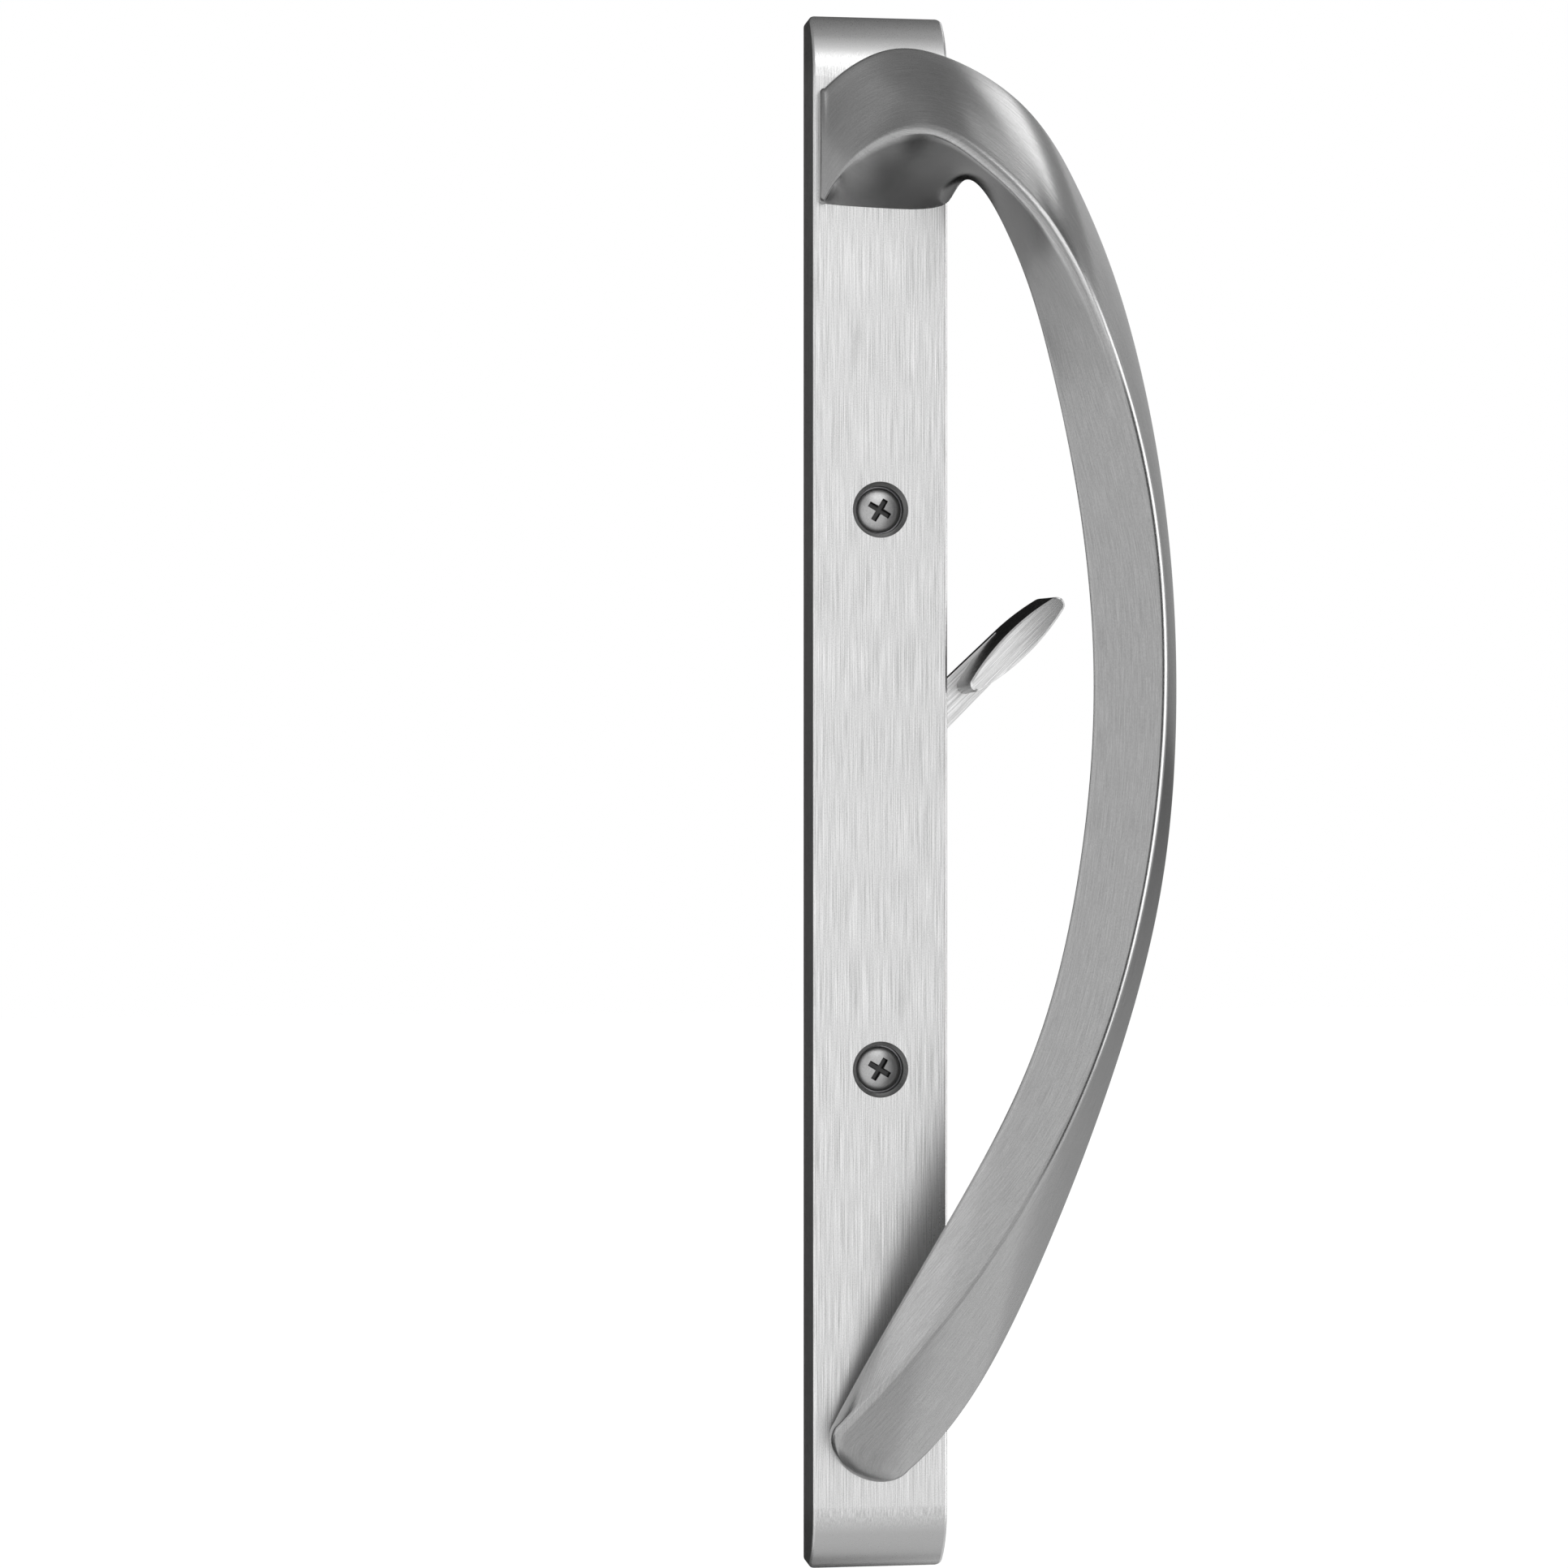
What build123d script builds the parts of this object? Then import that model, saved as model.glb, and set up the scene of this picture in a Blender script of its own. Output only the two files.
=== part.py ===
from build123d import *
import math
import os

os.makedirs("parts", exist_ok=True)

# Inside handle of a sliding patio door: a long plate with a bowed pull and a latch lever.
# +Z is up, +X is the pull's side, +Y points into the door, and the door's face is the plane Y = 0.
# The origin is midway between the two mounting screws. Heights (h) are measured from the door's
# face towards the room, so a height h lies at Y = -h. All sizes are in millimetres.

# Escutcheon plate
plate_length = 279.1
plate_width = 24.3
plate_depth = 12.0
plate_drop = 0.45           # how far the plate's middle lies below the middle of the screw pair
front_wall = 2.2
side_wall = 2.0
end_run = 12.0              # length of the curve at each end of the plate
end_depth = 5.2             # depth that is left at the tip of that curve
corner_round = 1.2
edge_round = 0.5

# Mounting screws and their seats in the plate
screw_spacing = 100.0
screw_head_dia = 8.0
screw_head_rim = 0.9
screw_head_height = 2.0
screw_sink = 0.9            # top of the head below the plate's face
screw_shank_dia = 3.6
screw_thread_dia = 4.16
screw_reach = 38.0          # length of screw behind the door's face
screw_point = 0.6
recess_mouth_dia = 10.0
recess_cone_depth = 1.0
head_clearance = 0.25
hole_clearance = 0.3
boss_wall = 2.0
thread_start = 0.4

# Cross recess of the screws
cross_reach = 4.4
cross_width = 1.1
cross_depth = 1.5
cross_taper_angle = 8.0
cross_turn = 59.0

# Latch lever and what carries it
pivot_rise = 2.6            # pivot above the middle of the screw pair
lever_angle = 44.3          # lever above the horizontal at rest
hub_dia = 14.0
hub_front = 7.0
journal_dia = 7.0
journal_length = 2.4
rear_journal_dia = 8.6
arm_thickness = 3.0
arm_root = 7.2
arm_tip = 5.9
arm_end = 34.0
paddle_middle = 33.75       # from the pivot to the middle of the paddle
paddle_length = 31.5        # of the lens at its root, before its two points are rounded
paddle_width = 5.9
paddle_front = 17.2
paddle_draft_angle = 1.5
paddle_tip_round = 1.8
paddle_heel_round = 1.6
paddle_bevel = 0.35
bush_wall = 0.9
bush_fit = 0.05
journal_fit = 0.1
ring_wall = 2.9
running_gap = 0.3
spring_gauge = 0.4
spring_rise = 0.2

# Retaining strap and its screws
strap_inset = 0.2           # strap below the plate's back rim
strap_thickness = 1.5
strap_width = 12.0
strap_pitch = 40.0
strap_post_dia = 7.5
strap_screw_dia = 3.0
strap_screw_head_dia = 5.5
strap_screw_length = 7.0
strap_screw_fit = 0.1
screw_fit = 0.05

# Tailpiece and its pin
blade_width = 6.0
blade_thickness = 2.2
blade_inner_end = 6.2
blade_reach = 38.0
blade_point = 1.6
blade_fit = 0.1
blade_slot_end = 0.2
pin_dia = 2.0
pin_height = 4.4
pin_fit = 0.03

# Pull screws, from inside the plate into the feet of the pull
pull_screw_dia = 5.0
pull_screw_grip = 5.8       # length of thread in the foot
pull_screw_head_dia = 9.4
pull_screw_head_rim = 1.6
pull_screw_head_height = 3.2
tap_spare = 0.6
lock_washer_dia = 9.2
lock_washer_gauge = 1.2
lock_washer_split = 0.9
top_foot_screw = (2.0, 115.0)
low_foot_screw = (3.5, -107.5)

# Pull: each section is three round edges joined by shallow arcs
pull_inset = 27.7           # how much shorter the pull is than the plate, between its outermost edge middles
ridge_round = 1.5
outer_round = 1.3
inner_round = 1.5
outer_bow = 2.5             # radius of each side's arc, as a share of its chord
inner_bow = 4.0
back_bow = 0.8
pull_steps = 28             # sections that the loft passes through
foot_seat = 0.05
foot_end_round = 0.8
nose_length = 5.7
foot_pad_length = 19.0
foot_pad_width = 11.0
foot_pad_height = 7.0
foot_pad_turn = 59.0

# Middles of the three edges at each section, from the top foot round to the lower one:
# ridge, outer edge and inner edge, each as (X, height above the plate's face, Z).
pull_sections = [
    ((-10.4, 1.5, 105.9), (-10.4, 1.6, 123.5), (-10.4, -3.0, 105.9)),
    ((-4.7, 6.6, 112.5), (-3.8, 1.6, 128.6), (-3.6, -4.5, 102.4)),
    ((3.6, 13.5, 115.8), (5.6, 1.8, 130.8), (8.0, -5.0, 102.3)),
    ((13.7, 21.1, 110.6), (21.8, 7.0, 122.2), (14.8, 7.0, 109.4)),
    ((23.3, 27.0, 99.9), (31.4, 14.0, 106.1), (21.1, 17.0, 98.0)),
    ((33.7, 33.0, 76.9), (39.5, 21.0, 80.2), (26.7, 27.0, 74.4)),
    ((39.9, 36.1, 51.7), (44.1, 24.5, 52.8), (30.7, 31.5, 50.1)),
    ((42.3, 37.1, 18.5), (46.4, 25.5, 18.8), (33.1, 33.0, 18.6)),
    ((39.4, 36.1, -14.7), (44.4, 24.5, -15.4), (30.9, 32.0, -13.0)),
    ((30.7, 32.0, -48.1), (36.2, 20.5, -50.2), (23.7, 28.0, -45.3)),
    ((17.6, 24.5, -76.6), (25.6, 13.0, -81.9), (12.0, 19.5, -72.5)),
    ((5.2, 15.0, -96.7), (15.6, 4.0, -106.0), (1.9, 10.0, -93.5)),
    ((-7.9, 6.5, -113.4), (3.8, 1.5, -120.6), (-7.6, 2.5, -113.4)),
]

# Levels and places worked out from the sizes above
inner_face = plate_depth - front_wall
screw_places = [screw_spacing / 2, -screw_spacing / 2]
screw_seat = plate_depth - screw_sink - screw_head_height
strap_front = strap_inset + strap_thickness
arm_back = strap_front + running_gap
arm_front = arm_back + arm_thickness
strap_places = [pivot_rise + strap_pitch / 2, pivot_rise - strap_pitch / 2]
bush_outer = journal_dia / 2 + journal_fit + bush_wall
ring_end = hub_front + spring_gauge + spring_rise + journal_fit
drawn_heights = [point[2] for row in pull_sections for point in row]
stretch = (plate_length - pull_inset) / (max(drawn_heights) - min(drawn_heights))
foot_screw_places = [(x, z * stretch) for x, z in (top_foot_screw, low_foot_screw)]
washer_back = inner_face - lock_washer_gauge

BASE = (Align.CENTER, Align.CENTER, Align.MIN)
SPARE = 2.0                 # cutters are this many times as long as what they cut through
SQUARE_ON = 0.99            # least part of an edge's direction along an axis that it counts as parallel to
ROUND_SHARES = (0.5, 0.87, 1.0)         # places along a quarter circle where sections are made
NOSE_SHARES = (0.4, 0.7, 0.9, 0.98)     # places along the nose where sections are made
CORNER_PIECES = 3           # curves that each round edge of a section is drawn with


def rod(x, z, radius, h0, h1):
    """Cylinder square to the door at (x, z), from height h0 to height h1."""
    return Plane.XZ.offset(h0) * Pos(x, z) * Cylinder(radius, h1 - h0, align=BASE)


def taper(x, z, r0, r1, h0, h1):
    """Cone square to the door at (x, z), of radius r0 at height h0 and r1 at height h1."""
    return Plane.XZ.offset(h0) * Pos(x, z) * Cone(r0, r1, h1 - h0, align=BASE)


def slab(sketch, h0, h1):
    """Flat outline in X and Z, carried from height h0 to height h1."""
    return extrude(Plane.XZ.offset(h0) * sketch, h1 - h0)


def turned(points_and_arcs):
    """Solid of revolution about the Y axis from edges drawn in (radius, Y)."""
    return revolve(make_face(points_and_arcs), Axis.Y)


def dome(radius, h_rim, h_top):
    """Half profile of a domed top, from its rim to its middle, in (radius, Y)."""
    rise = abs(h_top - h_rim)
    ball = (radius ** 2 + rise ** 2) / (2 * rise)
    half_angle = math.asin(radius / ball) / 2
    toward_rim = math.copysign(ball * (1 - math.cos(half_angle)), h_rim - h_top)
    middle = (ball * math.sin(half_angle), -(h_top + toward_rim))
    return ThreePointArc((radius, -h_rim), middle, (0, -h_top))


def cross_recess(x, z, h_top, direction):
    """Tapered cross cut into a screw head at height h_top, down along direction (-1 is to the door)."""
    wings = Rectangle(cross_reach, cross_width) + Rectangle(cross_width, cross_reach)
    mouth = Plane.XZ.offset(h_top) * Pos(x, z) * Rot(0, 0, cross_turn) * wings
    return extrude(mouth, direction * cross_depth, taper=cross_taper_angle)


def plate_form(width, inset_front, inset_end):
    """Plate with both ends curved back, drawn in by the two insets, as an extrusion along X."""
    half = plate_length / 2
    drop = plate_depth - end_depth
    curve = (end_run ** 2 + drop ** 2) / (2 * drop)
    middle = plate_depth - curve
    flat = half - end_run
    radius = curve - inset_front
    run = end_run - inset_end
    front = plate_depth - inset_front
    tip = middle + math.sqrt(radius ** 2 - run ** 2)
    half_angle = math.asin(run / radius) / 2
    bend_h = middle + radius * math.cos(half_angle)
    bend_z = flat + radius * math.sin(half_angle)
    end = flat + run
    outline = make_face(
        [
            Line((0, -end), (0, end)),
            Line((0, end), (-tip, end)),
            ThreePointArc((-tip, end), (-bend_h, bend_z), (-front, flat)),
            Line((-front, flat), (-front, -flat)),
            ThreePointArc((-front, -flat), (-bend_h, -bend_z), (-tip, -end)),
            Line((-tip, -end), (0, -end)),
        ]
    )
    return Pos(0, 0, -plate_drop) * extrude(Plane.YZ.offset(-width / 2) * outline, width)


def make_escutcheon():
    """Hollow-backed plate with screw bosses, strap posts, lever bearing and lever notch."""
    body = plate_form(plate_width, 0, 0)
    body = fillet(body.edges().filter_by(Axis.Y), corner_round)
    flat_end = plate_length / 2 - end_run + edge_round

    def is_rim(edge):
        on_back = edge.center().Y > -edge_round
        upright = abs(edge.tangent_at(0.5).Y) > SQUARE_ON
        across = abs(edge.tangent_at(0.5).X) > SQUARE_ON
        return not (on_back or upright or (across and abs(edge.center().Z + plate_drop) < flat_end))

    body = fillet(body.edges().filter_by(is_rim), edge_round)
    body -= plate_form(plate_width - 2 * side_wall, front_wall, side_wall)

    into_wall = plate_depth - front_wall / 2
    boss_radius = screw_head_dia / 2 + head_clearance + boss_wall
    for z in screw_places:
        body += rod(0, z, boss_radius, 0, into_wall)
    for z in strap_places:
        body += rod(0, z, strap_post_dia / 2, strap_front, into_wall)
    body += rod(0, pivot_rise, bush_outer + bush_fit + ring_wall, ring_end, into_wall)

    bore = screw_thread_dia / 2 + hole_clearance
    seat = screw_head_dia / 2 + head_clearance
    cone_floor = plate_depth - recess_cone_depth
    for z in screw_places:
        body -= rod(0, z, bore, 0, plate_depth)
        body -= rod(0, z, seat, screw_seat, plate_depth)
        body -= taper(0, z, seat, recess_mouth_dia / 2, cone_floor, plate_depth)
    for z in strap_places:
        deep = strap_inset + strap_screw_length + tap_spare
        body -= rod(0, z, strap_screw_dia / 2 + screw_fit, strap_front, deep)
    body -= rod(0, pivot_rise, bush_outer + bush_fit, ring_end, inner_face)
    for x, z in foot_screw_places:
        body -= rod(x, z, pull_screw_dia / 2 + hole_clearance, inner_face, plate_depth)

    swing = plate_width / 2 * math.tan(math.radians(lever_angle))
    notch_half = swing + arm_root / 2 / math.cos(math.radians(lever_angle)) + running_gap
    notch = Pos(plate_width / 2, pivot_rise) * Rectangle(2 * SPARE * side_wall, 2 * notch_half)
    body -= slab(notch, -running_gap, arm_front + running_gap)
    return body


def belt_arc(middle_a, radius_a, middle_b, radius_b, bow):
    """Centre of the arc that touches two round edges from outside, and the two points where it does."""
    chord = middle_b - middle_a
    length = chord.length
    along = chord / length
    inward = Vector(-along.Y, along.X)
    radius = bow * length + max(radius_a, radius_b)
    reach_a = radius - radius_a
    reach_b = radius - radius_b
    run = (reach_a ** 2 - reach_b ** 2 + length ** 2) / (2 * length)
    centre = middle_a + along * run + inward * math.sqrt(reach_a ** 2 - run ** 2)
    start = middle_a + (middle_a - centre).normalized() * radius_a
    end = middle_b + (middle_b - centre).normalized() * radius_b
    return centre, start, end


def arc_edges(centre, start, end, count):
    """Arc about centre, counter-clockwise from start to end, as cubic Bezier curves of equal turn.

    Every section then has curves of one kind, so that the loft stays light and smooth.
    """
    arm = start - centre
    turn = arm.get_angle(end - centre) / count
    handle = 4 / 3 * math.tan(math.radians(turn) / 4)
    edges = []
    for _ in range(count):
        onward = arm.rotate(Axis.Z, turn)
        lead = Vector(-arm.Y, arm.X) * handle
        trail = Vector(-onward.Y, onward.X) * handle
        edges.append(Bezier(centre + arm, centre + arm + lead, centre + onward - trail, centre + onward))
        arm = onward
    return edges


def pull_wire(ridge, outer, inner, rounds):
    """Closed section of the pull round three edge middles: three round edges and three arcs."""
    plane = Plane(origin=ridge, x_dir=outer - ridge, z_dir=(outer - ridge).cross(inner - ridge))
    bows = [outer_bow, back_bow, inner_bow]
    middles = [plane.to_local_coords(point) for point in (ridge, outer, inner)]
    sides = []
    for k in range(3):
        n = (k + 1) % 3
        sides.append(belt_arc(middles[k], rounds[k], middles[n], rounds[n], bows[k]))
    edges = []
    for k in range(3):
        n = (k + 1) % 3
        edges += arc_edges(*sides[k], 1)
        edges += arc_edges(middles[n], sides[k][2], sides[n][1], CORNER_PIECES)
    return plane.from_local_coords(Wire(edges))


def edge_lines(rows):
    """Smooth lines through the ridge, outer and inner points, on one parameter: the mean way along them."""
    way = [0.0]
    for here, there in zip(rows, rows[1:]):
        steps = [(b - a).length for a, b in zip(here, there)]
        way.append(way[-1] + sum(steps) / len(steps))
    return [Edge.make_spline([row[k] for row in rows], parameters=way) for k in range(3)]


def make_pull():
    """Bowed grip with its two feet, coped to the plate's face and tapped for its screws."""

    def place(point):
        return Vector(point[0], -(plate_depth + point[1]), point[2] * stretch)

    lines = edge_lines([[place(point) for point in row] for row in pull_sections])
    shares = [k / (pull_steps - 1) for k in range(pull_steps)]
    rows = [[line.position_at(share) for line in lines] for share in shares]
    rounds = [ridge_round, outer_round, inner_round]
    wires = [pull_wire(*row, rounds) for row in rows]

    # Rounded edge of the top foot's flat end: the first section, drawn in along a quarter circle
    end_wires = wires[:1]
    for share in ROUND_SHARES:
        drawn_in = foot_end_round * (1 - math.sqrt(1 - share ** 2))
        shifted = [point - Vector(foot_end_round * share, 0, 0) for point in rows[0]]
        end_wires.append(pull_wire(*shifted, [radius - drawn_in for radius in rounds]))

    # Nose of the lower foot: the last section, run on down its own slope and narrowed along a quarter ellipse
    nose_wires = wires[-1:]
    ridge, outer, inner = rows[-1]
    top = (ridge + outer) / 2
    low = Vector(top.X, inner.Y, top.Z)
    onward = (inner - outer).cross(Vector(0, 1, 0)).normalized()
    slope = (ridge.Y - rows[-2][0].Y) / (ridge - rows[-2][0]).length
    for share in NOSE_SHARES:
        across = math.sqrt(1 - share ** 2)
        shift = (onward + Vector(0, slope, 0)) * (nose_length * share)
        narrowed = [middle + (point - middle) * across + shift
                    for middle, point in ((top, ridge), (top, outer), (low, inner))]
        nose_wires.append(pull_wire(*narrowed, [radius * across for radius in rounds]))

    # One skin, sewn from the three stretches and the flat ends
    skin = Shell.make_loft(end_wires, ruled=True).faces()
    skin += Shell.make_loft(wires).faces()
    skin += Shell.make_loft(nose_wires).faces()
    body = Part() + Solid(Shell(skin + [Face(end_wires[-1]), Face(nose_wires[-1])]))

    pad = Ellipse(foot_pad_length / 2, foot_pad_width / 2)
    pad = Pos(*foot_screw_places[1]) * Rot(0, 0, foot_pad_turn) * pad
    body += slab(pad, plate_depth, plate_depth + foot_pad_height)

    body -= Pos(0, -foot_seat, 0) * plate_form(2 * SPARE * body.bounding_box().max.X, 0, 0)
    for x, z in foot_screw_places:
        tap_end = plate_depth + pull_screw_grip + tap_spare
        body -= rod(x, z, pull_screw_dia / 2 + screw_fit, 0, tap_end)
    return body


def make_mounting_screw(z):
    """Cross-recess screw: domed head, plain shank in the plate, thread behind the door's face."""
    head = screw_head_dia / 2
    shank = screw_shank_dia / 2
    thread = screw_thread_dia / 2
    rim = screw_seat + screw_head_rim
    top = screw_seat + screw_head_height
    screw = turned(
        [
            dome(head, rim, top),
            Polyline(
                (0, -top),
                (0, screw_reach),
                (thread - screw_point, screw_reach),
                (thread, screw_reach - screw_point),
                (thread, thread_start),
                (shank, thread_start),
                (shank, -screw_seat),
                (head, -screw_seat),
                (head, -rim),
            ),
        ]
    )
    return Pos(0, 0, z) * screw - cross_recess(0, z, top, -1)


def make_pull_screw(x, z):
    """Pan-head screw with its head in the plate's hollow and its thread in the foot."""
    head = pull_screw_head_dia / 2
    thread = pull_screw_dia / 2
    rim = washer_back - pull_screw_head_rim
    top = washer_back - pull_screw_head_height
    tip = plate_depth + pull_screw_grip
    screw = turned(
        [
            dome(head, rim, top),
            Polyline(
                (0, -top),
                (0, -tip),
                (thread, -tip),
                (thread, -washer_back),
                (head, -washer_back),
                (head, -rim),
            ),
        ]
    )
    return Pos(x, 0, z) * screw - cross_recess(x, z, top, 1)


def make_lock_washer(x, z):
    """Split spring washer under the head of a pull screw."""
    washer = rod(x, z, lock_washer_dia / 2, washer_back, inner_face)
    washer -= rod(x, z, pull_screw_dia / 2 + hole_clearance, washer_back, inner_face)
    split = Pos(x + lock_washer_dia / 2, z) * Rectangle(lock_washer_dia, lock_washer_split)
    return washer - slab(split, washer_back, inner_face)


def at_pivot(solid):
    """Carry a piece drawn with the lever along +X and heights along +Z to its place on the plate."""
    return Plane.XZ * Pos(0, pivot_rise) * Rot(0, 0, lever_angle) * solid


def make_latch_lever():
    """Hub with two journals, flat arm and lens-shaped thumb paddle, in one casting."""

    def upright(radius, h0, h1):
        return Pos(0, 0, h0) * Cylinder(radius, h1 - h0, align=BASE)

    hub_back = strap_front + running_gap
    lever = upright(hub_dia / 2, hub_back, hub_front)
    lever += upright(journal_dia / 2, hub_front, hub_front + journal_length)
    lever += upright(rear_journal_dia / 2, strap_inset, hub_back)

    arm = make_face(
        Polyline(
            (0, -arm_root / 2),
            (arm_end, -arm_tip / 2),
            (arm_end, arm_tip / 2),
            (0, arm_root / 2),
            close=True,
        )
    )
    lever += extrude(Plane.XY.offset(arm_back) * arm, arm_thickness)

    near = paddle_middle - paddle_length / 2
    far = paddle_middle + paddle_length / 2
    lens = make_face(
        [
            ThreePointArc((near, 0), (paddle_middle, paddle_width / 2), (far, 0)),
            ThreePointArc((far, 0), (paddle_middle, -paddle_width / 2), (near, 0)),
        ]
    )
    lens = fillet(lens.vertices().sort_by(Axis.X)[-1], paddle_tip_round)
    lens = fillet(lens.vertices().sort_by(Axis.X)[0], paddle_heel_round)
    paddle = extrude(Plane.XY.offset(arm_back) * lens, paddle_front - arm_back, taper=paddle_draft_angle)
    paddle = chamfer(paddle.faces().sort_by(Axis.Z)[-1].edges(), paddle_bevel)
    lever += paddle

    slot_width = blade_width + 2 * blade_fit
    slot_thickness = blade_thickness + 2 * blade_fit
    lever -= Box(slot_width, slot_thickness, blade_inner_end + blade_slot_end, align=BASE)
    lever -= Pos(0, 0, pin_height) * Rot(90, 0, 0) * Cylinder(pin_dia / 2 + pin_fit, SPARE * hub_dia)
    return at_pivot(lever)


def make_tailpiece():
    """Flat blade from the hub into the door, with its corners cut at the free end."""
    half = blade_width / 2
    outline = make_face(
        Polyline(
            (-half, blade_inner_end),
            (half, blade_inner_end),
            (half, blade_point - blade_reach),
            (half - blade_point, -blade_reach),
            (blade_point - half, -blade_reach),
            (-half, blade_point - blade_reach),
            close=True,
        )
    )
    blade = extrude(Plane.XZ.offset(-blade_thickness / 2) * outline, blade_thickness)
    pin_hole = Cylinder(pin_dia / 2 + pin_fit, SPARE * blade_thickness)
    blade -= Pos(0, 0, pin_height) * Rot(90, 0, 0) * pin_hole
    return at_pivot(blade)


def make_tailpiece_pin():
    """Cross pin through the hub and the blade, flush inside the hub's sides."""
    length = hub_dia - 2 * edge_round
    return at_pivot(Pos(0, 0, pin_height) * Rot(90, 0, 0) * Cylinder(pin_dia / 2, length))


def make_lever_bush():
    """Plain bush between the lever's front journal and the plate."""
    bush = rod(0, pivot_rise, bush_outer, ring_end, inner_face)
    return bush - rod(0, pivot_rise, journal_dia / 2 + journal_fit, ring_end, inner_face)


def make_friction_washer():
    """Dished spring washer between the hub's shoulder and the bearing ring."""
    inner = bush_outer + bush_fit
    outer = hub_dia / 2 - running_gap
    low = hub_front + journal_fit / 2
    ring = make_face(
        Polyline(
            (inner, -low - spring_rise),
            (outer, -low),
            (outer, -low - spring_gauge),
            (inner, -low - spring_rise - spring_gauge),
            close=True,
        )
    )
    return Pos(0, 0, pivot_rise) * revolve(ring, Axis.Y)


def make_retaining_strap():
    """Steel strap across the back that keeps the lever in, countersunk for its two screws."""
    outline = Pos(0, pivot_rise) * SlotCenterToCenter(strap_pitch, strap_width, rotation=90)
    strap = slab(outline, strap_inset, strap_front)
    strap -= rod(0, pivot_rise, rear_journal_dia / 2 + journal_fit, strap_inset, strap_front)
    head = strap_screw_head_dia / 2 + strap_screw_fit
    hole = strap_screw_dia / 2 + strap_screw_fit
    for z in strap_places:
        strap -= rod(0, z, hole, strap_inset, strap_front)
        strap -= taper(0, z, head, hole, strap_inset, strap_inset + head - hole)
    return strap


def make_strap_screw(z):
    """Countersunk cross-recess screw from the back, through the strap into its post."""
    head = strap_screw_head_dia / 2
    thread = strap_screw_dia / 2
    neck = strap_inset + head - thread
    screw = taper(0, z, head, thread, strap_inset, neck)
    screw += rod(0, z, thread, neck, strap_inset + strap_screw_length)
    return screw - cross_recess(0, z, strap_inset, 1)


pieces = {
    "escutcheon": make_escutcheon(),
    "pull": make_pull(),
    "mounting_screws": Compound([make_mounting_screw(z) for z in screw_places]),
    "pull_screws": Compound([make_pull_screw(x, z) for x, z in foot_screw_places]),
    "pull_lock_washers": Compound([make_lock_washer(x, z) for x, z in foot_screw_places]),
    "latch_lever": make_latch_lever(),
    "lever_bush": make_lever_bush(),
    "friction_washer": make_friction_washer(),
    "retaining_strap": make_retaining_strap(),
    "strap_screws": Compound([make_strap_screw(z) for z in strap_places]),
    "tailpiece": make_tailpiece(),
    "tailpiece_pin": make_tailpiece_pin(),
}

for name, piece in pieces.items():
    export_step(piece, f"parts/{name}.step")
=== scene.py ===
import math

import bpy
import numpy as np
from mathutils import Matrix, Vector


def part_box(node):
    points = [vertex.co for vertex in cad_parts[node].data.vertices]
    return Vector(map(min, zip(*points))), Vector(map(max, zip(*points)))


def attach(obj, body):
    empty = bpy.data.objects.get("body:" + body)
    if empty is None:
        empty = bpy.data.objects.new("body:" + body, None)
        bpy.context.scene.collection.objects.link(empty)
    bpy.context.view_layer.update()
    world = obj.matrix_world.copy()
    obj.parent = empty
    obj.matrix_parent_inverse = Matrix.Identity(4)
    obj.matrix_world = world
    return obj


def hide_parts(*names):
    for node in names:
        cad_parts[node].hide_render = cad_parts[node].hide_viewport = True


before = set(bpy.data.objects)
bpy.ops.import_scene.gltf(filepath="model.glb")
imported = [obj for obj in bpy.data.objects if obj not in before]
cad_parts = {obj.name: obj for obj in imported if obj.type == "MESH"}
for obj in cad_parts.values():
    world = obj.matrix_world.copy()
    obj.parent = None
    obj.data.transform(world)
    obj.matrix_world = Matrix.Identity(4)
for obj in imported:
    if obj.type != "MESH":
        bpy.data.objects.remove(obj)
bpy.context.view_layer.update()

# Inside handle of a sliding patio door: brushed plate, twisting satin pull, latch lever.
# The plate's front faces -Y, the pull stands out to +X, and +Z is up. Lengths are in millimetres
# where a name ends in _MM or the line says so, and in metres everywhere else.
MM = 0.001

# Pull, with the sizes of the solid that it stands for
RIDGE_ROUND_MM = 1.5        # radii of the three edges
OUTER_ROUND_MM = 1.3
INNER_ROUND_MM = 1.5
OUTER_BOW = 2.5             # radius of each side's arc, as a share of its chord
INNER_BOW = 4.0
BACK_BOW = 0.8
FOOT_SEAT_MM = 0.05         # joint between the feet and the plate's face
FOOT_END_ROUND_MM = 0.8
NOSE_LENGTH_MM = 5.7
NOSE_SLOPE_ROWS = 10        # rows of the grip that its slope at the nose is read over
NOSE_TURN = 0.48 * math.pi  # part of the quarter ellipse that the nose's rows follow

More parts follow.
